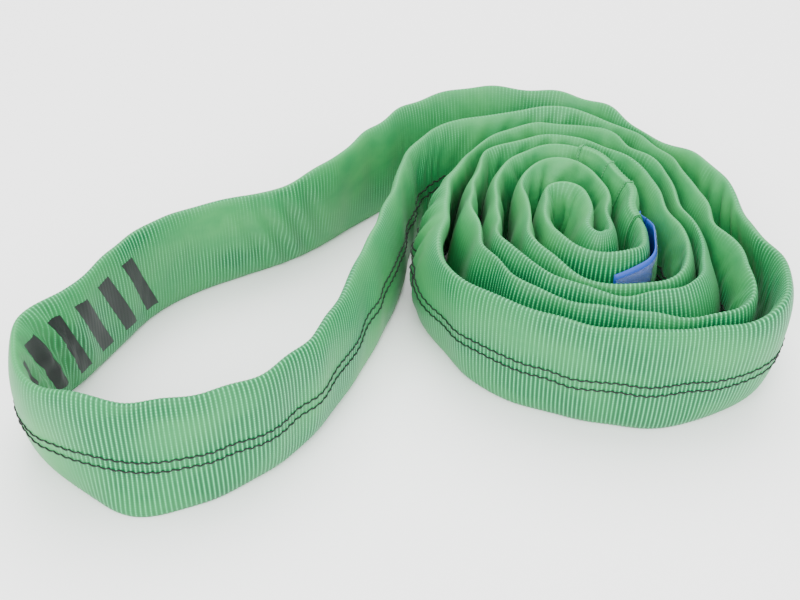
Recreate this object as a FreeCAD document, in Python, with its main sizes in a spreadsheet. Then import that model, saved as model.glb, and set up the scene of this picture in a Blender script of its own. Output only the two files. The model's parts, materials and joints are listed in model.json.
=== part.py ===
import FreeCAD, Part
import math
import os
import Sketcher

# Endless polyester round sling, 2 t, folded in two and rolled up, one end loop left out.
# The band stands on its edge. X runs from the end loop to the coil, Z is up and the origin
# is under the middle of the sling, on the surface it stands on. All lengths are millimetres.

SIZES = {
    "band_width": 45.0,            # height of the band as it stands on its edge
    "band_thickness": 6.5,
    "jacket_wall": 0.8,
    "hank_clearance": 0.3,         # between a yarn hank and the jacket
    "tracer_level": 17.5,          # height of the lower tracer row above the band's edge
    "tracer_spacing": 4.0,
    "tracer_height": 0.8,
    "tracer_depth": 0.5,
    "splice_wall": 0.7,
    "splice_clearance": 0.2,       # between the splice cover and the jacket
    "splice_foot": 6.0,            # lowest part of the band is left free by the cover
    "seam_width": 0.8,
    "seam_depth": 0.35,
    "seam_foot": 9.0,              # lowest part of the cover is left free by the seams
    "label_height": 34.0,
    "label_thickness": 0.5,
    "label_clearance": 0.3,        # between the label and what it lies against
    "label_rise": 6.0,             # height of the label's lower edge
    "tab_gap": 0.3,                # slot between the sewn tab and the loose leaf
    "film_margin": 2.0,
    "film_thickness": 0.25,
    "film_clearance": 0.15,
    "label_stitch_width": 0.45,
    "label_stitch_depth": 0.4,
}
HANKS = 9                          # yarn hanks side by side across the band

# The coil: radius of the outer strand at the eight compass directions, clockwise from the
# back (+Y), on its first turn and three turns further in. The other strand lies half a turn's
# pitch inside it.
COIL_CENTRE = (62.0, 9.0)
FIRST_TURN = (77.5, 65.0, 66.5, 93.5, 74.5, 65.5, 70.0, 71.0)
FOURTH_TURN = (20.5, 14.5, 9.0, 27.0, 22.0, 10.0, 4.0, 11.0)
TURNS_BETWEEN = 3
HALF_PITCH = 0.5
COIL_STEP = 22.5                   # degrees between the points of a turn
LOOSE_FROM = 1.85                  # the turns further in than this lie looser
LOOSE_TURNS = 0.12
OUTER_STRAND_END = 742.5           # degrees wound before the loose middle of the coil
INNER_STRAND_END = 585.0

# The stretches that aren't coiled, chosen by hand: the loose middle of the coil with the fold
# where the strands meet, and the way from the inner strand round the end loop and back.
MIDDLE = (
    (81.5, 28.5), (83.5, 17.5), (83.5, 8.0), (88.5, -3.0), (88.5, -17.5), (76.0, -22.0),
    (64.0, -17.5), (57.0, -11.5), (52.5, -4.5), (52.0, 7.0), (52.5, 16.5), (54.5, 21.0),
    (58.5, 23.0), (63.0, 21.0), (65.0, 16.5), (65.0, 5.0), (64.0, -4.5), (67.5, -11.0),
    (73.5, -13.0), (79.5, -9.0), (78.0, 0.5), (74.5, 8.5), (74.5, 15.0), (74.0, 22.0),
    (70.5, 31.0), (62.0, 36.5), (52.5, 32.5), (46.5, 24.0), (44.5, 16.5), (43.5, 9.0),
    (43.0, 1.5),
)
END_LOOP = (
    (30.5, 69.5), (14.5, 64.0), (1.0, 52.0), (-5.5, 36.0), (-9.0, 16.0), (-12.5, -4.5),
    (-17.0, -25.0), (-22.0, -46.0), (-31.0, -64.0), (-45.0, -80.0), (-62.0, -90.5),
    (-81.0, -94.0), (-99.0, -91.0), (-113.5, -82.0), (-122.5, -69.0), (-125.0, -56.5),
    (-123.0, -44.0), (-116.0, -32.5), (-107.0, -19.0), (-98.0, -3.5), (-85.5, 10.5),
    (-68.5, 22.5), (-49.5, 30.5), (-32.5, 41.5), (-16.0, 59.5), (3.0, 77.0), (21.5, 88.0),
    (41.5, 90.0),
)
ROUTE_SHIFT = (-2.4, 1.9)           # puts the origin under the middle of the sling
CORNER_SHARE = 0.45                # how much of its shorter run each corner's arc takes

SPLICE_AT = 33                     # outer strand's point where the splice cover begins
SPLICE_POINTS = 4                  # route points that the cover goes round
LABEL_POINTS = 3                   # route points that the loose leaf of the label goes round
SEAMS = 3                          # cross seams that hold the splice


def compass_radius(radii, degrees):
    """Radius in a direction, on a smooth curve through the eight compass radii."""
    place = degrees % 360 / 45
    first = int(place)
    part = place - first
    before, start, end, after = (radii[(first + k) % 8] for k in (-1, 0, 1, 2))
    bend = 2 * before - 5 * start + 4 * end - after + part * (3 * (start - end) + after - before)
    return start + 0.5 * part * (end - before + part * bend)


def coil_point(degrees, strand):
    """Point of the outer (0) or inner (1) strand after winding in by so many degrees."""
    turns = degrees / 360 + HALF_PITCH * strand
    turns += LOOSE_TURNS * min(max(turns - LOOSE_FROM, 0) / 0.3, 1)
    first = compass_radius(FIRST_TURN, degrees)
    fourth = compass_radius(FOURTH_TURN, degrees)
    radius = first + (fourth - first) * turns / TURNS_BETWEEN
    angle = math.radians(degrees)
    return (COIL_CENTRE[0] + radius * math.sin(angle), COIL_CENTRE[1] + radius * math.cos(angle))


def strand_points(strand, end):
    return [coil_point(k * COIL_STEP, strand) for k in range(int(end / COIL_STEP) + 1)]


def sling_route():
    """Points of the closed route, starting in the middle of the splice cover."""
    outer = strand_points(0, OUTER_STRAND_END)
    inner = strand_points(1, INNER_STRAND_END)
    points = outer + list(MIDDLE) + inner[::-1] + list(END_LOOP)
    points = points[SPLICE_AT:] + points[:SPLICE_AT]
    return [FreeCAD.Vector(x + ROUTE_SHIFT[0], y + ROUTE_SHIFT[1], 0) for x, y in points]


def corner_arc(before, corner, after):
    """Arc that rounds a corner, as its start, middle and end points, and its radius."""
    back = (before - corner).normalize()
    ahead = (after - corner).normalize()
    cut = CORNER_SHARE * min((before - corner).Length, (after - corner).Length)
    half = back.getAngle(ahead) / 2
    inward = (back + ahead).normalize()
    centre = corner + inward * (cut / math.cos(half))
    radius = cut * math.tan(half)
    return (corner + back * cut, centre - inward * radius, corner + ahead * cut), radius


def rounded_route(points):
    """The corner arcs of the closed route."""
    count = len(points)
    arcs = [corner_arc(points[k - 1], points[k], points[(k + 1) % count]) for k in range(count)]
    print("smallest route radius %.1f mm" % min(radius for _, radius in arcs))
    return [arc for arc, _ in arcs]


def stretch(arcs, first, last, trim=0.0):
    """Edges of the route from the middle of the run before one corner to the middle of the
    run after another. All of the corners together close the route."""
    count = len(arcs)
    edges = []
    before = arcs[(first - 1) % count][2]
    middle = (before + arcs[first % count][0]) / 2
    middle += (middle - before).normalize() * trim
    for k in range(first, last + 1):
        start, through, end = arcs[k % count]
        edges.append(Part.LineSegment(middle, start))
        edges.append(Part.Arc(start, through, end))
        middle = (end + arcs[(k + 1) % count][0]) / 2
        edges.append(Part.LineSegment(end, middle))
    return edges


class Size:
    """Number kept together with the sheet expression that it comes from."""

    def __init__(self, value, text):
        self.value = value
        self.text = text

    def __add__(self, other):
        return Size(self.value + other.value, "(%s + %s)" % (self.text, other.text))

    def __sub__(self, other):
        return Size(self.value - other.value, "(%s - %s)" % (self.text, other.text))

    def __mul__(self, number):
        return Size(self.value * number, "%s * %s" % (self.text, number))

    def __truediv__(self, number):
        return Size(self.value / number, "%s / %s" % (self.text, number))


def size(name):
    return Size(SIZES[name], "Sizes." + name)


def new_body(label):
    body = document.addObject("PartDesign::Body", label)
    body.Label = label
    return body


def bodies():
    return [item for item in document.Objects if item.TypeId == "PartDesign::Body"]


def add_sketch(body, name, role):
    plane = next(item for item in body.Origin.OriginFeatures if item.Role == role)
    sketch = body.newObject("Sketcher::SketchObject", name)
    sketch.AttachmentSupport = [(plane, "")]
    sketch.MapMode = "FlatFace"
    return sketch


def add_path(body, edges):
    """Sketch of a stretch of the route, in the plane that the sling stands on."""
    path = add_sketch(body, "Path", "XY_Plane")
    for edge in edges:
        path.addGeometry(edge, False)
    return path


def add_section(body, edges):
    """Empty sketch square across the start of a stretch: X points out of the sling's loop,
    Y points up and the normal points along the stretch."""
    sketch = add_sketch(body, "Section", "XZ_Plane")
    start = edges[0].StartPoint
    run = edges[0].EndPoint - start
    heading = math.degrees(math.atan2(run.y, run.x))
    turn = FreeCAD.Rotation(FreeCAD.Vector(0, 1, 0), heading + 90)
    sketch.AttachmentOffset = FreeCAD.Placement(FreeCAD.Vector(start.x, 0, -start.y), turn)
    return sketch


def constrain(sketch, kind, *where):
    return sketch.addConstraint(Sketcher.Constraint(kind, *where))


def constrain_size(sketch, kind, where, length):
    """Dimension bound to the sheet."""
    index = constrain(sketch, kind, *where, length.value)
    sketch.setExpression("Constraints[%d]" % index, length.text)


def line(sketch, start, end):
    points = (FreeCAD.Vector(*start, 0), FreeCAD.Vector(*end, 0))
    sketch.addGeometry(Part.LineSegment(*points), False)


def half_circle(sketch, centre_height, radius, begin):
    circle = Part.Circle(FreeCAD.Vector(0, centre_height, 0), FreeCAD.Vector(0, 0, 1), radius)
    sketch.addGeometry(Part.ArcOfCircle(circle, begin, begin + math.pi), False)


def draw_obround(sketch, foot_centre, straight, radius):
    """Upright flat section with round edges."""
    reach, low = radius.value, foot_centre.value
    high = low + straight.value
    line(sketch, (reach, low), (reach, high))
    half_circle(sketch, high, reach, 0)
    line(sketch, (-reach, high), (-reach, low))
    half_circle(sketch, low, reach, math.pi)
    for k in range(4):
        constrain(sketch, "Tangent", k, 2, (k + 1) % 4, 1)
    constrain(sketch, "Vertical", 0)
    constrain(sketch, "PointOnObject", 3, 3, -2)
    constrain_size(sketch, "Radius", (1,), radius)
    constrain_size(sketch, "DistanceY", (-1, 1, 3, 3), foot_centre)
    constrain_size(sketch, "DistanceY", (3, 3, 1, 3), straight)


def draw_disc(sketch, centre, radius):
    """Round section on the middle of the band."""
    middle = FreeCAD.Vector(0, centre.value, 0)
    circle = Part.Circle(middle, FreeCAD.Vector(0, 0, 1), radius.value)
    sketch.addGeometry(circle, False)
    constrain(sketch, "PointOnObject", 0, 3, -2)
    constrain_size(sketch, "DistanceY", (-1, 1, 0, 3), centre)
    constrain_size(sketch, "Radius", (0,), radius)


def draw_arch(sketch, foot, centre, radius):
    """Upright section with a round top and a flat foot."""
    reach, low, high = radius.value, foot.value, centre.value
    line(sketch, (reach, low), (reach, high))
    half_circle(sketch, high, reach, 0)
    line(sketch, (-reach, high), (-reach, low))
    line(sketch, (-reach, low), (reach, low))
    constrain(sketch, "Tangent", 0, 2, 1, 1)
    constrain(sketch, "Tangent", 1, 2, 2, 1)
    constrain(sketch, "Coincident", 2, 2, 3, 1)
    constrain(sketch, "Coincident", 3, 2, 0, 1)
    constrain(sketch, "Vertical", 0)
    constrain(sketch, "Horizontal", 3)
    constrain(sketch, "PointOnObject", 1, 3, -2)
    constrain_size(sketch, "Radius", (1,), radius)
    constrain_size(sketch, "DistanceY", (-1, 1, 1, 3), centre)
    constrain_size(sketch, "DistanceY", (-1, 1, 0, 1), foot)


def draw_box(sketch, near, low, depth, height):
    """Upright rectangle on the outside of the band."""
    left, foot = near.value, low.value
    right, top = left + depth.value, foot + height.value
    corners = ((left, foot), (right, foot), (right, top), (left, top))
    for k in range(4):
        line(sketch, corners[k], corners[(k + 1) % 4])
    for k in range(4):
        constrain(sketch, "Coincident", k, 2, (k + 1) % 4, 1)
        constrain(sketch, ("Horizontal", "Vertical")[k % 2], k)
    constrain_size(sketch, "DistanceX", (-1, 1, 0, 1), near)
    constrain_size(sketch, "DistanceY", (-1, 1, 0, 1), low)
    constrain_size(sketch, "DistanceX", (0, 1, 0, 2), depth)
    constrain_size(sketch, "DistanceY", (1, 1, 1, 2), height)


def sweep(body, kind, edges, draw, *sizes):
    """Sweep a section along a stretch of the route."""
    path = add_path(body, edges)
    section = add_section(body, edges)
    draw(section, *sizes)
    document.recompute()
    pipe = body.newObject("PartDesign::" + kind, "Sweep")
    pipe.Profile = section
    pipe.Spine = path
    document.recompute()


def extrude_section(body, kind, edges, length, draw, *sizes):
    """Pad or pocket a section from the start of a stretch."""
    section = add_section(body, edges)
    draw(section, *sizes)
    document.recompute()
    feature = body.newObject("PartDesign::" + kind, kind)
    feature.Profile = section
    feature.Reversed = kind == "Pocket"
    feature.setExpression("Length", length.text)
    document.recompute()


def make_jacket(whole):
    """Endless woven sleeve, hollow for the yarn."""
    body = new_body("jacket")
    sweep(body, "AdditivePipe", whole, draw_obround, THICK / 2, BAND - THICK, THICK / 2)
    sweep(body, "SubtractivePipe", whole, draw_obround, THICK / 2, BAND - THICK, CAVITY / 2)


def make_hanks(whole):
    """Endless hanks of load-bearing yarn, side by side across the band."""
    radius = CAVITY / 2 - size("hank_clearance")
    pitch = (BAND - THICK) / (HANKS - 1)
    for k in range(HANKS):
        sweep(new_body("yarn_hank_%d" % (k + 1)), "AdditivePipe", whole, draw_disc,
              THICK / 2 + pitch * k, radius)


def make_tracers(uncovered):
    """Two rows of tracer stitching along the outside of the loop, up to the splice cover."""
    for k, label in enumerate(("tracer_row_lower", "tracer_row_upper")):
        level = size("tracer_level") + size("tracer_spacing") * k
        sweep(new_body(label), "AdditivePipe", uncovered, draw_box, THICK / 2, level,
              size("tracer_depth"), size("tracer_height"))


def make_splice_cover(covered):
    """Overlap of the sleeve's two ends: a saddle over the band, open along its foot."""
    body = new_body("splice_cover")
    foot = size("splice_foot")
    sweep(body, "AdditivePipe", covered, draw_arch, foot, TOP_CENTRE, COVER_OUTSIDE)
    sweep(body, "SubtractivePipe", covered, draw_arch, foot, TOP_CENTRE, COVER_INSIDE)


def make_cross_seams(arcs):
    """Rows of stitching over the splice cover."""
    foot, width = size("seam_foot"), size("seam_width")
    outside = COVER_OUTSIDE + size("seam_depth")
    for k in range(SEAMS):
        body = new_body("cross_seam_%d" % (k + 1))
        place = stretch(arcs, k, k)
        extrude_section(body, "Pad", place, width, draw_arch, foot, TOP_CENTRE, outside)
        extrude_section(body, "Pocket", place, width, draw_arch, foot, TOP_CENTRE, COVER_OUTSIDE)


def make_label(arcs):
    """Label sewn to the cover by its tab, with a loose leaf under a clear film."""
    last = SPLICE_POINTS - 1
    tab = stretch(arcs, last, last)
    leaf = stretch(arcs, last + 1, last + LABEL_POINTS, SIZES["tab_gap"])
    for label, place in (("label_tab", tab), ("label_leaf", leaf)):
        sweep(new_body(label), "AdditivePipe", place, draw_box, LABEL_FACE, size("label_rise"),
              size("label_thickness"), size("label_height"))
    foot = size("label_rise") + size("film_margin")
    height = size("label_height") - size("film_margin") * 2
    sweep(new_body("label_film"), "AdditivePipe", leaf, draw_box,
          LABEL_OUTSIDE + size("film_clearance"), foot, size("film_thickness"), height)
    extrude_section(new_body("label_stitch_row"), "Pad", tab, size("label_stitch_width"), draw_box,
             LABEL_OUTSIDE, foot, size("label_stitch_depth"), height)


def check_model():
    """Stop before anything is written if an object or a solid is faulty."""
    for item in document.Objects:
        if "Invalid" in item.State or "Error" in item.State:
            raise RuntimeError("%s failed: %s" % (item.Label, item.State))
    for body in bodies():
        if body.Shape.isNull() or not body.Shape.isValid() or len(body.Shape.Solids) != 1:
            raise RuntimeError("%s is not one sound solid" % body.Label)


def write_parts():
    os.makedirs("parts", exist_ok=True)
    for body in bodies():
        body.Shape.exportStep("parts/%s.step" % body.Label)
        print("%-18s %10.1f mm3" % (body.Label, body.Shape.Volume))


# Sizes that several pieces share. The reaches are measured out from the middle of the band.
BAND = size("band_width")
THICK = size("band_thickness")
CAVITY = THICK - size("jacket_wall") * 2
TOP_CENTRE = BAND - THICK / 2
COVER_INSIDE = THICK / 2 + size("splice_clearance")
COVER_OUTSIDE = COVER_INSIDE + size("splice_wall")
LABEL_FACE = COVER_OUTSIDE + size("label_clearance")
LABEL_OUTSIDE = LABEL_FACE + size("label_thickness")

document = FreeCAD.newDocument("round_sling")
sheet = document.addObject("Spreadsheet::Sheet", "Sizes")
for row, (name, value) in enumerate(SIZES.items(), start=1):
    sheet.set("A%d" % row, name)
    sheet.set("B%d" % row, str(value))
    sheet.setAlias("B%d" % row, name)
document.recompute()

corner_arcs = rounded_route(sling_route())
points_round = len(corner_arcs)
whole_route = stretch(corner_arcs, 0, points_round - 1)
print("endless length %.0f mm" % sum(edge.length() for edge in whole_route))
make_jacket(whole_route)
make_hanks(whole_route)
make_tracers(stretch(corner_arcs, SPLICE_POINTS, points_round - 1))
make_splice_cover(stretch(corner_arcs, 0, SPLICE_POINTS - 1))
make_cross_seams(corner_arcs)
make_label(corner_arcs)
check_model()
write_parts()
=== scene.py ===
import json
import math

import bpy
import numpy as np
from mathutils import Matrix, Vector


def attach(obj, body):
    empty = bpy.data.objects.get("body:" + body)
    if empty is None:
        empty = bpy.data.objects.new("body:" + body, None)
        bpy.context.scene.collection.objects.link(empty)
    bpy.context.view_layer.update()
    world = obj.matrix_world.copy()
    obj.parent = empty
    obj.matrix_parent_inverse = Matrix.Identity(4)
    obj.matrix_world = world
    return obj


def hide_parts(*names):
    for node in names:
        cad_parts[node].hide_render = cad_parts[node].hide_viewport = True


# Looks of the rolled-up round sling. Everything is in metres in the part's own frame: the band
# stands on its edge, X runs from the end loop to the coil and Z is up.

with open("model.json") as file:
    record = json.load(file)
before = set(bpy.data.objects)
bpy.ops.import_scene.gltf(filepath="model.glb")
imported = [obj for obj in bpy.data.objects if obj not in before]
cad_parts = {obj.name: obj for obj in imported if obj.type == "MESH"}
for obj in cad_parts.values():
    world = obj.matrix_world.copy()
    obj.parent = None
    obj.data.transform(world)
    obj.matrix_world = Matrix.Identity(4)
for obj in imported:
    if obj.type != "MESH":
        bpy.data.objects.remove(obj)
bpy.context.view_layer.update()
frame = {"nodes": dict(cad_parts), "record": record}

MM = 0.001

# The band's route, as in the part: two strands wound into a coil, the loose middle of the coil,
# and the end loop. It closes on itself.
COIL_CENTRE = (62.0, 9.0)
FIRST_TURN = (77.5, 65.0, 66.5, 93.5, 74.5, 65.5, 70.0, 71.0)
FOURTH_TURN = (20.5, 14.5, 9.0, 27.0, 22.0, 10.0, 4.0, 11.0)
TURNS_BETWEEN = 3
HALF_PITCH = 0.5
COIL_STEP = 22.5
LOOSE_FROM = 1.85
LOOSE_TURNS = 0.12
LOOSE_OVER = 0.3                # turns over which the looseness comes in
OUTER_STRAND_END = 742.5
INNER_STRAND_END = 585.0
MIDDLE = (
    (81.5, 28.5), (83.5, 17.5), (83.5, 8.0), (88.5, -3.0), (88.5, -17.5), (76.0, -22.0),
    (64.0, -17.5), (57.0, -11.5), (52.5, -4.5), (52.0, 7.0), (52.5, 16.5), (54.5, 21.0),
    (58.5, 23.0), (63.0, 21.0), (65.0, 16.5), (65.0, 5.0), (64.0, -4.5), (67.5, -11.0),
    (73.5, -13.0), (79.5, -9.0), (78.0, 0.5), (74.5, 8.5), (74.5, 15.0), (74.0, 22.0),
    (70.5, 31.0), (62.0, 36.5), (52.5, 32.5), (46.5, 24.0), (44.5, 16.5), (43.5, 9.0),
    (43.0, 1.5),
)
END_LOOP = (
    (30.5, 69.5), (14.5, 64.0), (1.0, 52.0), (-5.5, 36.0), (-9.0, 16.0), (-12.5, -4.5),
    (-17.0, -25.0), (-22.0, -46.0), (-31.0, -64.0), (-45.0, -80.0), (-62.0, -90.5),
    (-81.0, -94.0), (-99.0, -91.0), (-113.5, -82.0), (-122.5, -69.0), (-125.0, -56.5),
    (-123.0, -44.0), (-116.0, -32.5), (-107.0, -19.0), (-98.0, -3.5), (-85.5, 10.5),
    (-68.5, 22.5), (-49.5, 30.5), (-32.5, 41.5), (-16.0, 59.5), (3.0, 77.0), (21.5, 88.0),
    (41.5, 90.0),
)
ROUTE_SHIFT = (-2.4, 1.9)

BAND_WIDTH = 45.0 * MM
BAND_THICKNESS = 6.5 * MM
RIB_PITCH = 1.43 * MM
RIB_SAMPLES = 4                 # stations along each rib
RIB_DEPTH = 0.18 * MM
PICK_PITCH = 0.95 * MM          # of the fine weave up the ribs
SECTION_STEPS = 18              # steps up each face of the band
WIDTH_STEPS = 24                # steps of the middle surface
EDGE_POWER = 3.4                # how square the band's edges are
MOST_SLOPE = 0.9                # sine of the band's steepest lean
HANKS = 9
HANK_RADIUS = 1.3 * MM
HANK_SPACING = 0.088            # of the band's width
HANK_FLOOR_GAP = 1.2 * MM
HANK_STRIDE = 12                # stations between the points of a hank
TRACER_LEVEL = 18.8 * MM
TRACER_SPACING = 4.0 * MM
TRACER_RADIUS = 0.29 * MM
TRACER_STITCH = 3.1 * MM
TRACER_SWAY = 0.28 * MM         # of the stitches up and down
TRACER_LAG = 1.7                # phase between the two rows' stitches
TRACER_STEP = 0.5 * MM
HANK_SIDES, THREAD_SIDES = 8, 6
SPLICE_START, SPLICE_END = 33, 37
COVER_FOOT = 6 / 45
COVER_LIFT = 0.2 * MM
COVER_WALL = 0.7 * MM
COVER_SHAPE = 0.7               # how squarely the cover goes over the band's upper edge
COVER_TOP = 16                  # how narrow the part of it over that edge is
COVER_STEPS = 40
SEAMS = 3
SEAM_RADIUS = 0.3 * MM
TAB_THREAD_RADIUS = 0.7 * SEAM_RADIUS
SEAM_STITCHES, TAB_STITCHES = 31, 10
SEAM_STEPS, TAB_STEPS = 160, 80
SEAM_ENDS = 0.03                # share of the arch left bare at either end of a seam
LABEL_LIFT = COVER_LIFT + COVER_WALL + 0.3 * MM
LABEL_LOW, LABEL_HIGH = 6 * MM, 40 * MM
LABEL_MARGIN = 2 * MM
LABEL_WALL = 0.5 * MM
LABEL_ROWS, LABEL_COLUMNS = 40, 16
FILM_LIFT, FILM_WALL = 0.65 * MM, 0.25 * MM
LABEL_TAB_FROM, LABEL_HINGE, LABEL_LENGTH = 36, 37, 2.6    # in route points
LABEL_CURL = 1.5 * MM           # of the free end, away from the band
LABEL_RISE = 5.0 * MM           # of the upper edge, from the tab on
LABEL_RISE_OVER = 1.5           # route points
LABEL_DROP = 6.5 * MM           # of the free end
PRINT_FROM, PRINT_TO = 136.9, 143.9    # in pitches of the printed bars along the band
PRINT_LOW, PRINT_HIGH = 8 * MM, 38 * MM
PRINT_PITCH = 13 * MM
PRINT_SHARE = 0.48              # of the pitch that is ink
PRINT_SLANT = 0.35
SPLINE_STEPS = 24               # points on the smooth line for each point of the route
LENGTH_STATIONS = 2000          # stations of the line that gives the band's length
AHEAD_REACH = 4                 # stations either side that give the line's direction
BEND_REACH = 12                 # and its bend
KEY_REACH = 9 * MM              # over which the values below are smoothed

# How the band stands, as (route point, value) pairs. Point 0 is where the outer strand enters
# the coil at the back, 34 to 64 are the middle, 65 to 91 the inner strand and 92 to 119 the
# end loop. Shifts are in mm, positive to the outside of the sling's loop, on the left of its
# travel.
TOP_OUT = (                     # of the upper edge
    (0, 3.8), (0.5, 4.5), (1, 6.0), (1.4, 5.0), (1.6, 1.0), (1.8, -3.0), (2.1, -4.5),
    (2.4, 1.0), (2.7, 0), (3.2, 3.5), (3.8, 4.0), (4.2, 3.5), (4.6, 0), (4.9, -2.5), (5.1, 0),
    (5.4, 4.0), (5.8, 4.5), (6.2, 6.0), (6.5, 5.5), (6.9, -0.7), (7.2, -2.3), (7.9, 1.0),
    (8.4, 1.8), (9, 3.0), (9.9, 4.0), (10.3, 7.0), (11, 7.0), (11.3, 2.5), (11.6, -2.0),
    (12, -7.5), (12.6, -8.5), (13, -7.5), (14, -5.0), (15, -2.0), (16, 1.0), (17, 1.0),
    (18, 1.0), (19.5, 2.0), (20, 0), (21, -3.5), (22, -4.5), (23, -4.0), (23.7, 0.5),
    (24.5, 0.5), (26, -1.0), (27, -3.0), (28, -5.0), (29, -4.5), (30, -1.5), (31, 3.0),
    (32, 2.5), (33, 2.5), (34, 2.5), (35, 3.5), (36, 3.5), (37, 0.5), (38, -2.0), (39, -1.5),
    (40, -0.5), (41, 1.5), (43, -2.5), (45, -2.0), (46, 5.0), (47, 6.0), (48, 4.5), (50, 4.5),
    (51, 4.5), (52, 6.0), (53, 6.0), (54, 3.0), (56, -2.0), (58, -3.5), (59, -5.0), (60, -5.0),
    (61, -2.0), (62, 2.0), (63, 3.5), (64, 3.5), (65, 2.5), (66.5, 0), (67.5, -1.5),
    (68.5, -2.5), (70, -2.5), (71, -2.5), (72, -2.0), (73, -2.0), (75, -1.5), (76, -1.5),
    (77, -1.5), (78, 3.0), (79, 6.5), (80, 6.5), (81, 3.0), (83, 0), (84.3, -1.0), (84.8, -5.0),
    (85.3, -6.0), (85.8, -6.0), (86.1, -4.0), (86.4, 3.5), (87, 3.0), (88, 0.5), (89, -0.5),
    (91, -3.5), (92, -2.0), (93, 0), (94, 3.0), (95, 6.0), (96, 6.0), (97, 4.0), (98, 3.0),
    (99.2, 2.0), (100, 2.0), (101, 3.0), (102, 3.5), (102.5, 1.5), (103.2, 0), (104, -0.5),
    (104.6, 2.0), (105.1, 3.5), (105.8, 3.0), (106.4, 1.5), (107, -0.8), (107.5, 2.0),
    (108, 3.5), (108.4, -2.0), (108.7, -8.0), (109.3, -8.5), (109.8, -6.0), (110.9, -2.0),
    (111.8, -4.0), (112.7, -4.5), (113.5, -6.0), (114.6, -7.5), (115.8, -4.5), (116.6, -1.5),
    (117.5, 2.0), (118.2, 4.5), (118.8, 5.0), (119.5, 2.5),
)
FOOT_OUT = (                    # of the lower edge
    (0, 1.0), (4, 1.0), (5, 2.0), (5.6, 4.0), (6, 4.0), (6.4, 0), (7, -2.5), (7.5, -1.0),
    (8.2, 0.4), (9, 1.5), (9.7, 3.0), (10.5, 2.0), (11, 0.5), (11.6, 2.0), (12.3, 1.0),
    (14, 1.0), (22, 3.0), (23, 3.0), (24.5, 0), (27, 1.0), (30, 1.0), (42, 1.0), (44, 1.5),
    (48, -1.5), (50, -1.5), (51.5, -2.5), (53, -2.5), (54.5, 0), (62, -1.0), (65, -1.0),
    (67.5, -1.0), (70.5, -1.0), (72, -0.5), (78, -1.0), (81, -1.0), (84, 0), (86, 0), (87, 3.5),
    (88.5, 3.0), (90, 0), (92, 0), (94, 3.0), (95, 7.0), (96.5, 9.0), (97.2, 8.0), (98.2, 6.0),
    (99, 2.5), (100.2, 1.5), (101, 2.0), (102, 2.0), (103, 2.5), (104, 1.0), (105, -1.5),
    (106, 0), (107, 2.0), (107.4, 1.0), (108, -3.0), (109.2, -4.0), (109.8, -3.0),
    (110.6, -2.0), (111.5, -0.5), (112.3, 0), (113, -2.0), (114.7, -0.7), (115.7, 2.0),
    (116.5, 0.5), (118, 1.0),
)
FLARE_OUT = (                   # of the lowest few mm
    (0, 0), (7, -1.0), (7.5, 3.0), (7.8, -1.0), (8.2, 0.5), (8.8, -1.0), (9.3, 0), (9.8, 2.5),
    (10.5, 1.0), (11.2, 0), (99, 0), (100, -2.0), (101, 0.5), (101.5, -2.0), (102, 0.5),
    (102.5, 2.5), (103, -2.0), (103.3, 7.0), (103.6, 10.0), (103.9, 8.0), (104.3, 1.0),
    (106, 0), (119, 0),
)
BELLY_OUT = (                   # of the middle of the width, past the line between the edges
    (0, 0), (4, 0), (4.5, 4.0), (5, 4.5), (5.5, 0), (6.3, 1.0), (7, 1.0), (8, 0), (11, 0),
    (11.6, 3.0), (12.1, 6.0), (12.6, 1.0), (13, 4.0), (14, 0), (20, 0), (22, 3.0), (23, 3.0),
    (24, 0), (102, 0), (104.5, 0), (105.3, 1.0), (105.9, 1.5), (106.5, 1.5), (107.1, 1.0),
    (107.7, -2.0), (108.2, -4.0), (108.7, 0), (119, 0),
)
WIDTH_SHARE = (                 # of the full width
    (0, 1), (1.6, 1), (1.8, 0.96), (2.1, 0.94), (2.5, 0.97), (3, 1), (67, 1), (68.7, 0.93),
    (70, 1), (101, 1), (102.5, 1.03), (104.5, 1.03), (106, 1), (109, 1), (110.5, 0.97),
    (112, 0.95), (115, 0.94), (116.5, 0.98), (118, 1.02),
)
WAVINESS = (                    # share of the irregular waves that shows
    (0, 0.35), (6, 0.2), (13, 0.3), (15, 0.75), (35, 0.75), (36.5, 0.25), (40, 0.25),
    (41.5, 0.75), (66, 0.75), (67.5, 0.25), (71, 0.25), (72.5, 0.75), (89, 0.75), (92, 0.35),
    (99, 0.2), (119, 0.35),
)
RIB_DEPTH_AND_PAINTED_LIGHT = (                     # depth of the ribs, and strength of the painted highlight on their crests and painted shade in their grooves, highest where the light falls on the outside
    (0, 0.5), (1, 0.3), (4, 0.25), (5, 0.45), (6, 0.9), (7, 1), (10, 1), (11, 0.6), (12, 0.3),
    (15, 0.25), (16, 0.35), (18, 0.2), (20.5, 0.25), (21.5, 0.9), (26, 1), (27.3, 0.15),
    (31, 0.2), (35, 0.2), (37, 0.35), (38, 0.9), (41, 0.9), (42.5, 0.2), (46, 0.4), (48, 0.1),
    (51, 0.4), (52, 1), (54, 0.9), (56, 0.15), (62, 0.15), (65, 0.15), (67, 0.9), (69, 0.9),
    (71, 0.15), (75, 0.5), (77, 0.15), (80, 0.2), (82, 0.9), (85.5, 1), (87, 0.2), (90, 0.2),
    (92, 0.5), (95, 0.3), (98, 0.4), (99.5, 1), (104.5, 1), (105.3, 0.4), (106, 0.1),
    (107, 0.2), (108, 0.9), (110, 0.8), (114, 0.6), (115.5, 0.3), (117, 0.4),
)
PUFF_OUT = (                    # share of the half thickness, outside
    (0, 1), (11, 1), (12, 1.3), (13, 1.2), (14, 1), (36.2, 1), (37, 0.88), (39.8, 0.88),
    (40.5, 1), (47, 1), (48.5, 1.05), (57, 1.05), (58.5, 1), (67, 1), (67.8, 0.88), (71, 0.88),
    (71.8, 1), (119, 1),
)
PUFF_IN = (                     # and inside
    (0, 1), (11, 1), (12, 1.3), (13, 1.2), (14, 1), (41, 1), (43, 1.5), (50, 1.5), (51.5, 1),
    (119, 1),
)
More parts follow.
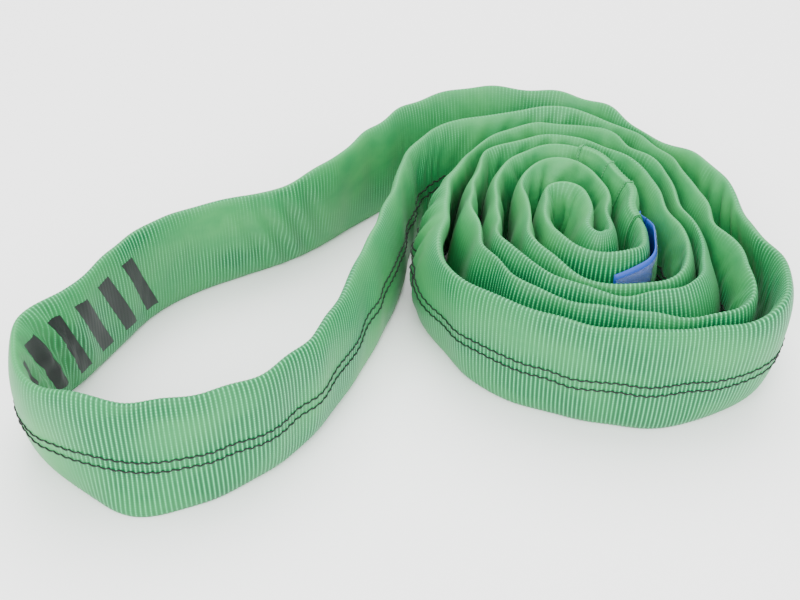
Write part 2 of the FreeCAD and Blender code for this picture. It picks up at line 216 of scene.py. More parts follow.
CREASES = (                     # mm, folds of the outer face, or of the inner one if negative
    (0, 0), (3.3, 0), (3.7, -1.8), (4.3, -1.8), (4.7, 0), (12, 0), (12.5, 1.5), (13.2, 1.5),
    (13.6, 0), (14.5, 0), (15.5, -1.0), (17.0, -0.6), (18.5, 0), (29.5, 0), (31, -1.0), (33, 0),
    (55, 0), (58.5, 0.9), (61.5, 0.9), (63, 0), (73, 0), (74.5, 1.2), (76.5, 1.2), (78, 0),
    (89, 0), (90.3, 0.8), (92, 1.2), (93, 0), (105, 0), (105.8, -0.5), (107, -0.9),
    (108.3, -1.2), (109.2, -0.8), (110, 0), (113.8, 0), (114.3, -1.6), (114.8, -1.6),
    (115.3, 0), (119, 0),
)
TOP_WAVE = 2.4                  # mm, irregular waves of the band
FOOT_WAVE = 0.4                 # mm
WIDTH_WAVE = 0.022              # share of the width
PUFF_WAVE = 0.08                # share of the thickness
RIPPLES = {                     # length and seed of each irregular wave
    "foot": (45 * MM, 9), "top": (33 * MM, 5), "belly": (27 * MM, 6), "width": (42 * MM, 3),
    "puff": (24 * MM, 8), "fold": (30 * MM, 11),
}
RIPPLE_PARTS = 12               # cosines in a ripple
RIPPLE_RANGE = (0.35, 2.2)      # of their frequencies
RIPPLE_FALL = 0.6               # how much weaker the quickest is
RIPPLE_SUM = 3.0                # about the most that they add up to
CRUMPLE = 1.2                   # mm, folds of the cloth's slack inside a bend
FOLD_LENGTH, FOLD_SWAY = 7.5 * MM, 6 * MM
FOLD_RADIUS = 14 * MM           # of a bend that has all of its folds
FOLD_REACH = 16                 # stations
CREASE_LENGTH = 9 * MM
TOP_TAPER, TAPER_POWER = 0.4, 5    # the coil's strands are thinner at their upper edge

# How the strands of the coil press on each other.
PRESS_STRIDE = 8                # stations between the points that press
PRESS_LEVELS = 7
PRESS_ROUNDS = 40
PRESS_REACH = 16 * MM
PRESS_APART = 1.3               # of that reach, between points along the band that can press
PRESS_SPREAD = 0.1              # share of a push that goes on to each neighbour in a round
FACING = 0.75                   # how squarely a neighbour faces a side that swells to it
LEAST_HALF, MOST_HALF = 2.4 * MM, 3.7 * MM
PRESS_GAP = 0.15 * MM
CLOTH_HALF = HANK_RADIUS + 0.5 * MM    # the cloth is never nearer to the middle than this
NO_NEIGHBOUR = 1.0              # m, more than any real room


def compass_radius(radii, degrees):
    """Radius in a direction, on a smooth curve through the eight compass radii."""
    place = degrees % 360 / 45
    first = int(place)
    part = place - first
    before, start, end, after = (radii[(first + k) % 8] for k in (-1, 0, 1, 2))
    bend = 2 * before - 5 * start + 4 * end - after + part * (3 * (start - end) + after - before)
    return start + 0.5 * part * (end - before + part * bend)


def coil_point(degrees, strand):
    """Point of the outer (0) or inner (1) strand after winding in by so many degrees."""
    turns = degrees / 360 + HALF_PITCH * strand
    turns += LOOSE_TURNS * min(max(turns - LOOSE_FROM, 0) / LOOSE_OVER, 1)
    first = compass_radius(FIRST_TURN, degrees)
    fourth = compass_radius(FOURTH_TURN, degrees)
    radius = first + (fourth - first) * turns / TURNS_BETWEEN
    angle = math.radians(degrees)
    return (COIL_CENTRE[0] + radius * math.sin(angle), COIL_CENTRE[1] + radius * math.cos(angle))


def strand_points(strand, end):
    return [coil_point(k * COIL_STEP, strand) for k in range(int(end / COIL_STEP) + 1)]


def sling_route():
    """The route's points, in metres."""
    outer = strand_points(0, OUTER_STRAND_END)
    inner = strand_points(1, INNER_STRAND_END)
    points = outer + list(MIDDLE) + inner[::-1] + list(END_LOOP)
    return (np.array(points) + ROUTE_SHIFT) * MM


class Line:
    """The band's centre line on the floor, a closed spline sampled at even steps."""

    def __init__(self, points, stations):
        count = len(points)
        step = np.arange(count * SPLINE_STEPS) / SPLINE_STEPS
        spline = quadratic_spline(points, step)
        closed = np.vstack([spline, spline[:1]])
        run = np.hypot(*np.diff(closed, axis=0).T)
        reach = np.concatenate([[0], np.cumsum(run)])
        self.length = reach[-1]
        self.s = np.arange(stations) * self.length / stations
        self.place = np.interp(self.s, reach, np.append(step, count))
        self.at = np.stack([np.interp(self.s, reach, closed[:, k]) for k in (0, 1)], axis=1)
        ahead = across_line(self.at, AHEAD_REACH)
        self.along = ahead / np.hypot(*ahead.T)[:, None]
        self.out = np.stack([-self.along[:, 1], self.along[:, 0]], axis=1)
        turn = across_line(self.along, BEND_REACH)
        self.bend = (turn * self.out).sum(1) / (2 * BEND_REACH * self.length / stations)

    def key(self, pairs):
        """Smooth value at each station from pairs of route point and value."""
        where = np.array([p for p, _ in pairs], float)
        value = np.array([v for _, v in pairs], float)
        count = len(ROUTE)
        where = np.concatenate([where - count, where, where + count])
        value = np.tile(value, 3)
        raw = np.interp(self.place, where, value)
        return smooth(raw, int(KEY_REACH * len(self.s) / self.length))


def quadratic_spline(points, step):
    """Closed quadratic B-spline."""
    count = len(points)
    first = np.floor(step).astype(int)
    part = (step - first)[:, None]
    before, here, after = (points[(first + k) % count] for k in (-1, 0, 1))
    return (0.5 * (1 - part) ** 2 * before + (0.5 + part - part ** 2) * here
            + 0.5 * part ** 2 * after)


def across_line(values, reach):
    """Change between the stations a reach after and a reach before each one."""
    return np.roll(values, -reach, axis=0) - np.roll(values, reach, axis=0)


def smooth(values, reach):
    """Running mean over a closed line, twice."""
    for _ in range(2):
        wrapped = np.concatenate([values[-reach:], values, values[:reach]])
        total = np.cumsum(np.concatenate([[0], wrapped]))
        values = (total[2 * reach + 1:] - total[:-2 * reach - 1]) / (2 * reach + 1)
    return values


def ripple(s, length, name):
    """Smooth irregular wave round a closed line, between about -1 and 1."""
    wavelength, seed = RIPPLES[name]
    draw = np.random.default_rng(seed)
    total = np.zeros_like(s)
    least, most = (share * length / wavelength for share in RIPPLE_RANGE)
    for cycles in draw.integers(least, most, RIPPLE_PARTS):
        wave = np.cos(2 * np.pi * (cycles * s / length + draw.random()))
        total += wave * (1 - RIPPLE_FALL * cycles / most)
    return total / RIPPLE_SUM


ROUTE = sling_route()


class Band:
    """The band's shape: its middle surface, the way its faces look and its half thickness on
    either side, at each station and at even steps of its width."""

    def __init__(self, line):
        self.line = line
        s, length = line.s[:, None], line.length
        self.up = np.linspace(0, 1, WIDTH_STEPS + 1)
        up = self.up[None, :]
        foot = line.key(FOOT_OUT)[:, None] + FOOT_WAVE * ripple(s, length, "foot")
        wavy = line.key(WAVINESS)[:, None]
        top = line.key(TOP_OUT)[:, None] + TOP_WAVE * wavy * ripple(s, length, "top")
        belly = line.key(BELLY_OUT)[:, None] + TOP_WAVE * wavy * ripple(s, length, "belly")
        flare = line.key(FLARE_OUT)[:, None] * (1 - up) ** 4
        across = MM * (foot + (top - foot) * up + belly * 4 * up * (1 - up) + flare)
        across, halves = self.settle(across)
        width = BAND_WIDTH * line.key(WIDTH_SHARE)[:, None]
        width = width * (1 + WIDTH_WAVE * ripple(s, length, "width"))
        slope = np.clip(np.diff(across, axis=1) * WIDTH_STEPS / width,
                        -MOST_SLOPE, MOST_SLOPE)
        rise = np.sqrt(1 - slope ** 2) * width / WIDTH_STEPS
        height = np.pad(np.cumsum(rise, axis=1), ((0, 0), (1, 0)))
        angle = np.arcsin(np.pad(0.5 * (slope[:, 1:] + slope[:, :-1]), ((0, 0), (1, 1)), "edge"))
        self.middle = self.spread(across, height)
        self.middle[:, :, :2] += line.at[:, None, :]
        self.face = self.spread(np.cos(angle), -np.sin(angle))
        puff = 1 - TOP_TAPER * wavy * up ** TAPER_POWER
        puff = puff * (1 + PUFF_WAVE * ripple(s, length, "puff") * np.sin(np.pi * up))
        self.half = {1: halves[0] * puff * line.key(PUFF_OUT)[:, None],
                     -1: halves[1] * puff * line.key(PUFF_IN)[:, None]}
        for side in self.half:
            self.half[side] = np.maximum(self.half[side] + self.slack(side), CLOTH_HALF)

    def settle(self, across):
        """Press the strands apart where they would meet, then let each one swell towards its
        neighbours. Gives the shift of the middle surface and the outer and inner half
        thickness."""
        line = self.line
        at, out = line.at[::PRESS_STRIDE], line.out[::PRESS_STRIDE]
        s = line.s[::PRESS_STRIDE]
        away = np.hypot(*(at[:, None] - at[None]).transpose(2, 0, 1))
        travel = np.abs(s[:, None] - s[None])
        travel = np.minimum(travel, line.length - travel)
        one, other = np.nonzero((away < PRESS_REACH) & (travel > PRESS_APART * PRESS_REACH))
        columns = np.linspace(0, WIDTH_STEPS, PRESS_LEVELS).astype(int)
        wanted = across[::PRESS_STRIDE][:, columns]
        change = np.zeros_like(wanted)
        count = len(at)
        for _ in range(PRESS_ROUNDS):
            shift = wanted + change
            for level in range(PRESS_LEVELS):
                place = at + out * shift[:, level, None]
                gap = place[other] - place[one]
                reach = np.hypot(*gap.T)
                push = np.maximum(2 * LEAST_HALF + 2 * PRESS_GAP - reach, 0)
                lean = (gap * out[one]).sum(1) / reach
                move = np.zeros(count)
                np.minimum.at(move, one, -0.5 * push * np.maximum(lean, 0))
                back = np.zeros(count)
                np.maximum.at(back, one, 0.5 * push * np.maximum(-lean, 0))
                change[:, level] += move + back
            wrapped = np.vstack([change[-1:], change, change[:1]])
            change = ((1 - 2 * PRESS_SPREAD) * change
                      + PRESS_SPREAD * (wrapped[2:] + wrapped[:-2]))
        shift = wanted + change
        halves = []
        for side in (1, -1):
            half = np.full(shift.shape, 0.5 * BAND_THICKNESS)
            for level in range(PRESS_LEVELS):
                place = at + out * shift[:, level, None]
                gap = place[other] - place[one]
                reach = np.hypot(*gap.T)
                facing = side * (gap * out[one]).sum(1) > FACING * reach
                room = np.full(count, NO_NEIGHBOUR)
                np.minimum.at(room, one[facing], 0.5 * reach[facing] - PRESS_GAP)
                near = room < 2 * MOST_HALF
                half[near, level] = np.clip(room[near], LEAST_HALF, MOST_HALF)
            halves.append(self.refine(half, columns))
        return self.refine(shift, columns), halves

    def refine(self, coarse, columns):
        """Values at every station and step of the width from those of the pressing points."""
        rows = len(self.line.s)
        column = np.arange(WIDTH_STEPS + 1)
        coarse = np.array([np.interp(column, columns, row) for row in coarse])
        for c in range(1, WIDTH_STEPS):
            coarse[:, c] = 0.5 * coarse[:, c] + 0.25 * (coarse[:, c - 1] + coarse[:, c + 1])
        known = np.arange(0, rows, PRESS_STRIDE)
        known = np.concatenate([known, [rows]])
        closed = np.vstack([coarse, coarse[:1]])
        fine = np.array([np.interp(np.arange(rows), known, closed[:, c]) for c in column]).T
        return np.array([smooth(fine[:, c], PRESS_STRIDE) for c in column]).T

    def slack(self, side):
        """Folds of the cloth on the inside of a bend, where it has slack, and its creases."""
        s, up = self.line.s[:, None], self.up[None, :]
        tight = np.clip(side * self.line.bend * FOLD_RADIUS, 0, 1)
        tight = smooth(tight, FOLD_REACH)[:, None]
        sway = FOLD_SWAY * np.sin(5 * up) ** 2
        wave = np.sin(2 * np.pi * (s + sway) / FOLD_LENGTH
                      + 2 * ripple(s, self.line.length, "fold"))
        folds = CRUMPLE * tight * wave
        slant = s + PRINT_SLANT * BAND_WIDTH * up
        depth = np.maximum(side * self.line.key(CREASES), 0)[:, None]
        folds = folds + depth * np.sin(2 * np.pi * slant / CREASE_LENGTH)
        return MM * folds * np.sin(np.pi * self.up) ** 0.5

    def spread(self, out, up):
        """Vectors from their parts out of the loop and up."""
        flat = self.line.out[:, None, :] * out[:, :, None]
        return np.concatenate([flat, up[:, :, None]], axis=2)

    def at(self, row, up, side, lift=0.0):
        """Points at stations (fractions allowed) and shares of the width, on the outside (side
        1), the inside (side -1) or the middle (0), raised off the face by a lift."""
        row, up, side, lift = np.broadcast_arrays(row, up, side, lift)
        count = len(self.middle)
        low = np.floor(row).astype(int)
        part = row - low
        place = np.clip(up, 0, 1) * WIDTH_STEPS
        level = np.minimum(place.astype(int), WIDTH_STEPS - 1)
        share = place - level
        total = 0
        for r, wr in ((low % count, 1 - part), ((low + 1) % count, part)):
            for c, wc in ((level, 1 - share), (level + 1, share)):
                half = np.where(side > 0, self.half[1][r, c], self.half[-1][r, c])
                reach = side * (half * fullness(up) + lift)
                total = total + (wr * wc)[..., None] * (self.middle[r, c]
                                                        + self.face[r, c] * reach[..., None])
        return total

    def rows(self, place):
        """Station, as a fraction, at a place along the route."""
        return np.interp(place, self.line.place, np.arange(len(self.line.place)))


def fullness(up):
    """Share of the full thickness across the width: the band is round at its edges."""
    return np.sqrt(np.clip(1 - np.abs(2 * up - 1) ** EDGE_POWER, 0, 1))


def section(steps):
    """Points round the band's section: shares of its width and sides, from the lower edge up
    the outside and down the inside."""
    rise = 0.5 * (1 - np.cos(np.pi * np.arange(steps + 1) / steps))
    up = np.concatenate([rise, rise[-2:0:-1]])
    side = np.concatenate([[0], np.ones(steps - 1), [0], -np.ones(steps - 1)])
    return up, side


def crest(rows):
    """1 on the top of each rib and -1 in each groove."""
    return np.cos(2 * np.pi * rows / RIB_SAMPLES)


def make_jacket(band):
    up, side = section(SECTION_STEPS)
    rows = np.arange(len(band.middle))[:, None]
    rib = crest(rows)
    depth = RIB_DEPTH * band.line.key(RIB_DEPTH_AND_PAINTED_LIGHT)[:, None]
    points = band.at(rows, up[None, :], side[None, :], 0.5 * depth * rib)
    points[:, :, 2] -= points[:, :, 2].min(1, keepdims=True)
    piece = grid_mesh("jacket_cloth", points)
    mark_cloth(piece, band, rows + 0 * up, up + 0 * rows, side + 0 * rows)
    return finish_piece(piece, "sling", "jacket", "jacket")


def mark_cloth(piece, band, rows, up, side):
    """Attributes that the cloth's material reads: how strongly the painted highlight on the rib
    crests and painted shade in the grooves show, and the place on the band."""
    painted_rib_light = band.line.key(RIB_DEPTH_AND_PAINTED_LIGHT)[np.round(rows).astype(int) % len(band.middle)]
    set_attribute(piece, "painted_rib_light", painted_rib_light)
    step = band.line.length / len(band.middle)
    place = np.stack([rows * step, up * BAND_WIDTH, side], axis=-1)
    attribute = piece.data.attributes.new("band", "FLOAT_VECTOR", "POINT")
    attribute.data.foreach_set("vector", place.reshape(-1).astype(np.float32))


def finish_piece(piece, body, slot, *nodes):
    piece.data.materials.append(finishes[slot])
    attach(piece, body)
    if nodes:
        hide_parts(*nodes)
    return piece


def tube(name, path, across, radius, sides, closed):
    """Round tube along points, with its section's first axis given at each point."""
    ahead = np.roll(path, -1, axis=0) - np.roll(path, 1, axis=0)
    if not closed:
        ahead[0], ahead[-1] = path[1] - path[0], path[-1] - path[-2]
    ahead /= np.linalg.norm(ahead, axis=1)[:, None]
    second = np.cross(ahead, across)
    second /= np.linalg.norm(second, axis=1)[:, None]
    first = np.cross(second, ahead)
    turn = 2 * np.pi * np.arange(sides) / sides
    ring = (np.cos(turn)[None, :, None] * first[:, None, :]
            + np.sin(turn)[None, :, None] * second[:, None, :])
    return grid_mesh(name, path[:, None, :] + radius * ring, closed)


def make_hanks(band):
    """The yarn inside, following the middle of the band."""
    rows = np.arange(0, len(band.middle), HANK_STRIDE)
    for k in range(HANKS):
        up = 0.5 + (k - (HANKS - 1) / 2) * HANK_SPACING
        path = band.at(rows, up, 0)
        across = band.at(rows, up, 1) - path
        path[:, 2] = np.maximum(path[:, 2], HANK_RADIUS + HANK_FLOOR_GAP)
        piece = tube("yarn_%d" % (k + 1), path, across, HANK_RADIUS, HANK_SIDES, True)
        finish_piece(piece, "sling", "yarn", "yarn_hank_%d" % (k + 1))


def make_tracers(band):
    """Two rows of dark stitching: each stitch rises out of the cloth and dips back in."""
    count = len(band.middle)
    start, end = band.rows(SPLICE_END), band.rows(SPLICE_START) + count
    steps = int((end - start) * band.line.length / count / TRACER_STEP)
    rows = np.linspace(start, end, steps)
    turn = 2 * np.pi * np.arange(steps) * TRACER_STEP / TRACER_STITCH
    for k, name in enumerate(("lower", "upper")):
        phase = turn + TRACER_LAG * k
        level = TRACER_LEVEL + k * TRACER_SPACING + TRACER_SWAY * np.sin(phase)
        lift = 0.5 * RIB_DEPTH + TRACER_RADIUS * (0.45 + 0.5 * np.cos(phase))
        up = level / BAND_WIDTH
        path = band.at(rows, up, 1, lift)
        across = band.at(rows, up, 1, lift + MM) - path
        piece = tube("tracer_thread_" + name, path, across, TRACER_RADIUS, THREAD_SIDES, False)
        finish_piece(piece, "sling", "tracer_thread", "tracer_row_" + name)


def slab(name, outer, inner):
    """Closed mesh between two open grids of points that face each other."""
    rows, columns = outer.shape[:2]
    ring = np.concatenate([outer, inner[:, ::-1]], axis=1)
    piece = grid_mesh(name, ring, False)
    mesh = piece.data
    faces = [list(p.vertices) for p in mesh.polygons]
    width = 2 * columns
    for row, flip in ((0, True), (rows - 1, False)):
        for c in range(columns - 1):
            face = [row * width + c, row * width + c + 1, row * width + width - 2 - c,
                    row * width + width - 1 - c]
            faces.append(face[::-1] if flip else face)
    vertices = [tuple(v.co) for v in mesh.vertices]
    fresh = bpy.data.meshes.new(name)
    fresh.from_pydata(vertices, [], faces)
    fresh.update()
    for polygon in fresh.polygons:
        polygon.use_smooth = True
    piece.data = fresh
    bpy.data.meshes.remove(mesh)
    return piece


def make_cover(band):
    """Overlap of the jacket's ends: a ribbed saddle over the band."""
    turn = np.linspace(0, 1, COVER_STEPS + 1)
    rise, side = arch(turn)
    rows = np.arange(int(band.rows(SPLICE_START)), int(band.rows(SPLICE_END)) + 1)[:, None]
    layers = [over_band(band, rows, turn[None, :], lift + 0.5 * RIB_DEPTH * crest(rows))
              for lift in (COVER_LIFT + COVER_WALL, COVER_LIFT)]
    piece = slab("splice_cover_cloth", *layers)
    everywhere = np.concatenate([rise, rise[::-1]])[None, :]
    both = np.concatenate([side, side[::-1]])[None, :]
    mark_cloth(piece, band, rows + 0 * everywhere, everywhere + 0 * rows, both + 0 * rows)
    finish_piece(piece, "sling", "jacket", "splice_cover")


def arch(turn):
    """Shares of the width and sides on an arch over the band: turn 0 is low on its outside and
    1 low on its inside."""
    rise = COVER_FOOT + (1 - COVER_FOOT) * np.sin(np.pi * turn) ** COVER_SHAPE
    return rise, np.where(turn < 0.5, 1.0, -1.0)


def over_band(band, rows, turn, lift):
    """Points on the arch, raised off the band by a lift."""
    rise, side = arch(turn)
    points = band.at(rows, rise, side, lift)
    level = np.clip((0.5 - turn) * COVER_TOP, -1, 1)
    points[..., 2] += np.sqrt(np.clip(1 - level ** 2, 0, 1)) * lift
    return points


def make_seams(band):
    """Rows of stitches over the cover, and the row through the label's tab."""
    turn = np.linspace(SEAM_ENDS, 1 - SEAM_ENDS, SEAM_STEPS + 1)
    stitch = np.cos(2 * np.pi * turn * SEAM_STITCHES)
    lift = COVER_LIFT + COVER_WALL + SEAM_RADIUS * (0.5 + 0.5 * stitch)
    for k in range(SEAMS):
        row = band.rows(SPLICE_START + k) + 2
        path = over_band(band, row, turn, lift)
        stitch_row(band, "cross_seam_thread_%d" % (k + 1), "cross_seam_%d" % (k + 1), row, path,
                   SEAM_RADIUS)
    low, high = LABEL_LOW + LABEL_MARGIN, LABEL_HIGH - LABEL_MARGIN
    up = np.linspace(low, high, TAB_STEPS + 1) / BAND_WIDTH
    row = band.rows(SPLICE_END - 0.5)
    stitch = np.cos(2 * np.pi * np.linspace(0, 1, TAB_STEPS + 1) * TAB_STITCHES)
    path = band.at(row, up, 1, LABEL_LIFT + LABEL_WALL + 0.6 * SEAM_RADIUS * stitch)
    stitch_row(band, "label_stitch_thread", "label_stitch_row", row, path,
               TAB_THREAD_RADIUS)


def stitch_row(band, name, replaced, row, path, radius):
    """Thread along a path that stands across the band at one station."""
    across = np.zeros_like(path)
    across[:, :2] = band.line.along[int(row)]
    piece = tube(name, path, across, radius, THREAD_SIDES, False)
    finish_piece(piece, "sling", "seam_thread", replaced)


def make_label(band):
    """Blue label: a sewn tab, a loose leaf and its clear film."""
    for name, body, slot, replaced, start, end, edge, lift, wall in (
            ("label_sewn_tab", "sling", "label", "label_tab", 36.05, 36.97, 0, 0, LABEL_WALL),
            ("label_loose_leaf", "label", "label", "label_leaf", 37.03, 39.6, 0, 0, LABEL_WALL),
            ("label_clear_film", "label", "film", "label_film", 37.05, 39.55, LABEL_MARGIN,
             FILM_LIFT, FILM_WALL)):
        place = np.linspace(start, end, LABEL_ROWS)[:, None]
        rows = band.rows(place)
        up = np.linspace(LABEL_LOW + edge, LABEL_HIGH - edge, LABEL_COLUMNS)[None, :]
        up = up / BAND_WIDTH
        loose = np.clip((place - LABEL_HINGE) / LABEL_LENGTH, 0, 1) ** 2
        away = LABEL_LIFT + lift + LABEL_CURL * loose * up ** 2
        layers = [band.at(rows, up, 1, away + wall), band.at(rows, up, 1, away)]
        risen = LABEL_RISE * np.clip((place - LABEL_TAB_FROM) / LABEL_RISE_OVER, 0, 1)
        for layer in layers:
            layer[:, :, 2] += up * (risen - LABEL_DROP * loose)
        finish_piece(slab(name, *layers), body, slot, replaced)


def grid_mesh(name, points, wrap_rows=True):
    """Mesh of a grid of points: its columns close round the section, and its rows close round
    the loop where they wrap."""
    rows, columns = points.shape[:2]
    mesh = bpy.data.meshes.new(name)
    row = np.arange(rows if wrap_rows else rows - 1)[:, None]
    column = np.arange(columns)[None, :]
    next_row, next_column = (row + 1) % rows, (column + 1) % columns
    quads = np.stack([row * columns + column, next_row * columns + column,
                      next_row * columns + next_column, row * columns + next_column], axis=2)
    quads = quads.reshape(-1, 4)
    mesh.vertices.add(rows * columns)
    mesh.vertices.foreach_set("co", points.reshape(-1))
    mesh.loops.add(quads.size)
    mesh.loops.foreach_set("vertex_index", quads.reshape(-1).astype(np.int32))
    mesh.polygons.add(len(quads))
    mesh.polygons.foreach_set("loop_start", np.arange(0, quads.size, 4, dtype=np.int32))
    mesh.polygons.foreach_set("use_smooth", np.ones(len(quads), bool))
    mesh.update(calc_edges=True)
    mesh.validate()
    piece = bpy.data.objects.new(name, mesh)
    bpy.context.scene.collection.objects.link(piece)
    return piece


def set_attribute(piece, name, values):
    attribute = piece.data.attributes.new(name, "FLOAT", "POINT")
    attribute.data.foreach_set("value", values.reshape(-1).astype(np.float32))


# --- materials ---------------------------------------------------------------------------

# Shares of the ribs, the weave and the grain in the height that colours and bumps the cloth.
RIB_SHARE, PICK_SHARE, GRAIN_SHARE = 0.76, 0.08, 0.16
RIB_SHARPNESS, PICK_SHARPNESS = 1.3, 1.0
GRAIN_SCALE = (900.0, 2600.0, 0.0)    # along the band, up it and through it
PATCH_SCALE = (32.0, 45.0, 3.0)
FADE_GAIN, FADE_SHIFT = 2.6, -1.45
# Ramp over that height: painted shade in the rib grooves, the cloth's own green between, and a
# painted highlight on the rib crests.
RIB_SHADE_AND_HIGHLIGHT_COLOURS = ((0.1, (0.002, 0.080, 0.024)), (0.5, (0.005, 0.165, 0.050)),
                 (0.8, (0.010, 0.255, 0.084)), (1.0, (0.20, 0.78, 0.41)))
GROUND_COLOURS = ((0.3, (0.020, 0.225, 0.066)), (0.7, (0.048, 0.300, 0.086)))
INK = (0.010, 0.014, 0.013, 1)
THREAD_GRAIN = 2500.0


def new_material(name):
    material = bpy.data.materials.new(name)
    material.use_nodes = True
    return material, material.node_tree.nodes, material.node_tree.links


def node(nodes, kind, **settings):
    made = nodes.new("ShaderNode" + kind)
    for name, value in settings.items():
        if name in made.inputs:
            made.inputs[name].default_value = value
        else:
            setattr(made, name, value)
    return made


def ramp(nodes, stops):
    """Colour ramp from (position, colour) stops."""
    made = nodes.new("ShaderNodeValToRGB")
    elements = made.color_ramp.elements
    for k, (position, colour) in enumerate(stops):
        element = elements[k] if k < 2 else elements.new(position)
        element.position = position
        element.color = (*colour, 1)
    return made


def math_node(nodes, links, operation, *values):
    """Math node whose inputs are numbers or other nodes' outputs."""
    made = node(nodes, "Math", operation=operation)
    for k, value in enumerate(values):
        if isinstance(value, (int, float)):
            made.inputs[k].default_value = value
        else:
            links.new(value, made.inputs[k])
    return made.outputs[0]


def printed_bars(nodes, links, along, height, side):
    """1 on the plain slanted bars printed on the inside of the end loop's bend."""
    slanted = math_node(nodes, links, "MULTIPLY_ADD", height, PRINT_SLANT, along)
    turn = math_node(nodes, links, "DIVIDE", slanted, PRINT_PITCH)
    bar = math_node(nodes, links, "LESS_THAN", math_node(nodes, links, "FRACT", turn),
                    PRINT_SHARE)
    for value, kind, limit in ((turn, "GREATER_THAN", PRINT_FROM),
                               (turn, "LESS_THAN", PRINT_TO),
                               (height, "GREATER_THAN", PRINT_LOW),
                               (height, "LESS_THAN", PRINT_HIGH), (side, "LESS_THAN", -0.5)):
        inside = math_node(nodes, links, kind, value, limit)
        bar = math_node(nodes, links, "MULTIPLY", bar, inside)
    return bar


def ridges(nodes, links, distance, pitch, sharpness):
    """1 on the top of each ridge and 0 between them, at an even pitch."""
    turn = math_node(nodes, links, "MULTIPLY", distance, 2 * math.pi / pitch)
    wave = math_node(nodes, links, "COSINE", turn)
    return math_node(nodes, links, "POWER",
                     math_node(nodes, links, "MULTIPLY_ADD", wave, 0.5, 0.5), sharpness)


def band_noise(nodes, links, place, stretch, scale, detail):
    """Noise in the cloth, stretched by its own scale along the band, up it and through it."""
    stretched = node(nodes, "VectorMath", operation="MULTIPLY")
    stretched.inputs[1].default_value = stretch
    links.new(place, stretched.inputs[0])
    noise = node(nodes, "TexNoise", Scale=scale, Detail=detail)
    links.new(stretched.outputs[0], noise.inputs["Vector"])
    return noise.outputs["Fac"]


def jacket_cloth(rib_pitch):
    """Ribbed green polyester webbing: a painted highlight on the thin rib crests and painted
    shade in the grooves, fading in and out, a fine weave, and the printed bars."""
    material, nodes, links = new_material("jacket_cloth")
    shader = nodes["Principled BSDF"]
    shader.inputs["Roughness"].default_value = 0.5
    shader.inputs["Sheen Weight"].default_value = 0.04
    shader.inputs["Sheen Roughness"].default_value = 0.4
    shader.inputs["Specular IOR Level"].default_value = 0.25
    place = node(nodes, "Attribute", attribute_name="band").outputs["Vector"]
    parts = node(nodes, "SeparateXYZ")
    links.new(place, parts.inputs[0])
    along, height, side = parts.outputs
    rib = ridges(nodes, links, along, rib_pitch, RIB_SHARPNESS)
    pick = ridges(nodes, links, height, PICK_PITCH, PICK_SHARPNESS)
    grain = math_node(nodes, links, "MULTIPLY",
                      band_noise(nodes, links, place, GRAIN_SCALE, 1.0, 2.0), GRAIN_SHARE)
    woven = math_node(nodes, links, "MULTIPLY_ADD", pick, PICK_SHARE, grain)
    mixed = math_node(nodes, links, "MULTIPLY_ADD", rib, RIB_SHARE, woven)
    fade = math_node(nodes, links, "MULTIPLY_ADD",
                     band_noise(nodes, links, place, PATCH_SCALE, 1.0, 2.0),
                     FADE_GAIN, FADE_SHIFT)
    # How strongly the painted crest highlights and groove shade show over the plain ground
    # colour, faded in random patches.
    painted_rib_light = node(nodes, "Attribute", attribute_name="painted_rib_light").outputs["Fac"]
    painted_rib_share = math_node(nodes, links, "ADD", painted_rib_light, fade)
    rib_shade_and_highlight = ramp(nodes, RIB_SHADE_AND_HIGHLIGHT_COLOURS)
    links.new(mixed, rib_shade_and_highlight.inputs["Fac"])
    ground = ramp(nodes, GROUND_COLOURS)
    patches = band_noise(nodes, links, place, PATCH_SCALE, 2.0, 3.0)
    links.new(patches, ground.inputs["Fac"])
    cloth = node(nodes, "Mix", data_type="RGBA")
    links.new(painted_rib_share, cloth.inputs["Factor"])
    links.new(ground.outputs["Color"], cloth.inputs["A"])
    links.new(rib_shade_and_highlight.outputs["Color"], cloth.inputs["B"])
    inked = node(nodes, "Mix", data_type="RGBA")
    inked.inputs["B"].default_value = INK
    bars = printed_bars(nodes, links, along, height, side)
    links.new(bars, inked.inputs["Factor"])
    links.new(cloth.outputs["Result"], inked.inputs["A"])
    links.new(inked.outputs["Result"], shader.inputs["Base Color"])
    bump = node(nodes, "Bump", Strength=0.3, Distance=0.0002)
    links.new(mixed, bump.inputs["Height"])
    links.new(bump.outputs["Normal"], shader.inputs["Normal"])
    return material


def plain_cloth(name, colour, roughness=0.7):
    """Thread or coated cloth of one colour, with a fine grain."""
    material, nodes, links = new_material(name)
    shader = nodes["Principled BSDF"]
    shader.inputs["Roughness"].default_value = roughness
    grain = node(nodes, "TexNoise", Scale=THREAD_GRAIN, Detail=2.0)
    shade = ramp(nodes, ((0.3, tuple(0.75 * c for c in colour)), (0.7, colour)))
    links.new(grain.outputs["Fac"], shade.inputs["Fac"])
    links.new(shade.outputs["Color"], shader.inputs["Base Color"])
    bump = node(nodes, "Bump", Strength=0.3, Distance=0.0001)
    links.new(grain.outputs["Fac"], bump.inputs["Height"])
    links.new(bump.outputs["Normal"], shader.inputs["Normal"])
    return material


def clear_film():
    """Clear plastic with faint scuffs."""
    material, nodes, links = new_material("label_film_clear")
    shader = nodes["Principled BSDF"]
    shader.inputs["Base Color"].default_value = (0.85, 0.92, 1.0, 1)
    shader.inputs["Transmission Weight"].default_value = 0.95
    shader.inputs["IOR"].default_value = 1.08
    scuffs = node(nodes, "TexNoise", Scale=700.0, Detail=3.0)
    rough = ramp(nodes, ((0.4, (0.05, 0.05, 0.05)), (0.75, (0.2, 0.2, 0.2))))
    links.new(scuffs.outputs["Fac"], rough.inputs["Fac"])
    links.new(rough.outputs["Color"], shader.inputs["Roughness"])
    return material


# --- stage -------------------------------------------------------------------------------

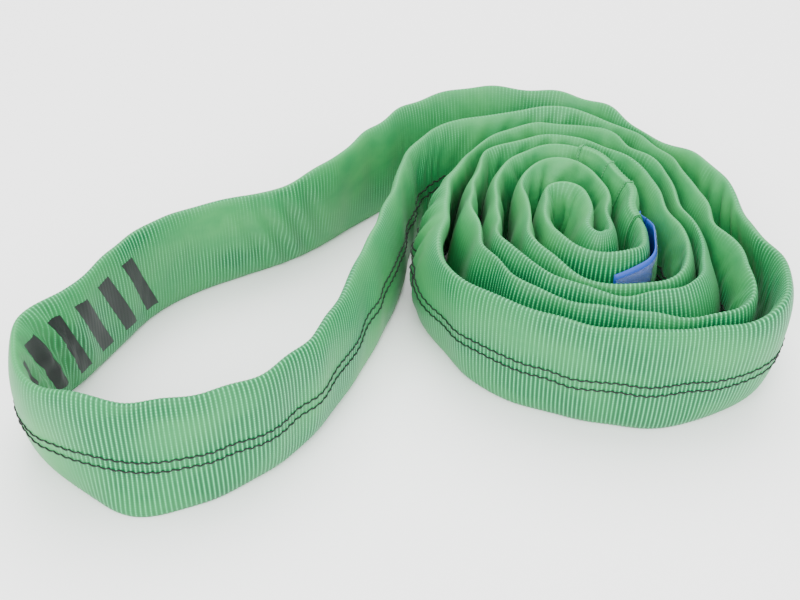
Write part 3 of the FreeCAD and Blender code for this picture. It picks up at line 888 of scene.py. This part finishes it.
CAMERA_PITCH = 0.700
CAMERA_PLACE = (-2.4 * MM, -348.65 * MM, 301.95 * MM)
LENS = 54.0
FLOOR_REACH = 6.0
LIGHTS = (                      # name, place, size in m and power in W
    ("key_light", (-0.45, -1.0, 0.85), 0.9, 22.0),
    ("fill_light", (0.8, -0.9, 0.7), 1.1, 14.0),
    ("back_light", (0.1, 0.6, 1.3), 1.2, 34.0),
)
STUDIO_STRENGTH = 1.6


def make_stage():
    floor_mesh = bpy.data.meshes.new("floor")
    corners = [(x * FLOOR_REACH, y * FLOOR_REACH, 0)
               for x, y in ((-1, -1), (1, -1), (1, 1), (-1, 1))]
    floor_mesh.from_pydata(corners, [], [(0, 1, 2, 3)])
    floor = bpy.data.objects.new("floor", floor_mesh)
    bpy.context.scene.collection.objects.link(floor)
    material, nodes, _ = new_material("floor_white")
    nodes["Principled BSDF"].inputs["Base Color"].default_value = (0.95, 0.95, 0.95, 1)
    nodes["Principled BSDF"].inputs["Roughness"].default_value = 0.9
    floor.data.materials.append(material)

    camera = bpy.data.objects.new("camera", bpy.data.cameras.new("camera"))
    camera.data.lens = LENS
    camera.data.clip_start = 0.01
    camera.location = CAMERA_PLACE
    camera.rotation_euler = (math.pi / 2 - CAMERA_PITCH, 0, 0)
    bpy.context.scene.collection.objects.link(camera)
    bpy.context.scene.camera = camera

    for name, place, size, power in LIGHTS:
        lamp = bpy.data.lights.new(name, "AREA")
        lamp.size = size
        lamp.energy = power
        light = bpy.data.objects.new(name, lamp)
        light.location = place
        light.rotation_euler = (-Vector(place)).to_track_quat("-Z", "Y").to_euler()
        bpy.context.scene.collection.objects.link(light)
    world = bpy.data.worlds.new("studio")
    world.use_nodes = True
    world.node_tree.nodes["Background"].inputs["Color"].default_value = (1, 1, 1, 1)
    world.node_tree.nodes["Background"].inputs["Strength"].default_value = STUDIO_STRENGTH
    bpy.context.scene.world = world


# --- the model ---------------------------------------------------------------------------

line_length = Line(ROUTE, LENGTH_STATIONS).length
ribs = round(line_length / RIB_PITCH)
finishes = {
    "jacket": jacket_cloth(line_length / ribs),
    "yarn": plain_cloth("yarn_white", (0.5, 0.51, 0.46)),
    "tracer_thread": plain_cloth("tracer_thread_black", (0.003, 0.007, 0.005)),
    "seam_thread": plain_cloth("seam_thread_green", (0.03, 0.24, 0.075)),
    "label": plain_cloth("label_blue", (0.008, 0.065, 0.42), 0.55),
    "film": clear_film(),
}
for part in frame["record"]["subparts"]:
    cad_piece = frame["nodes"][part["node"]]
    cad_piece.data.materials.clear()
    cad_piece.data.materials.append(finishes[part["material_slot"]])

sling = Band(Line(ROUTE, ribs * RIB_SAMPLES))
jacket = make_jacket(sling)
make_hanks(sling)
make_tracers(sling)
make_cover(sling)
make_seams(sling)
make_label(sling)

make_stage()
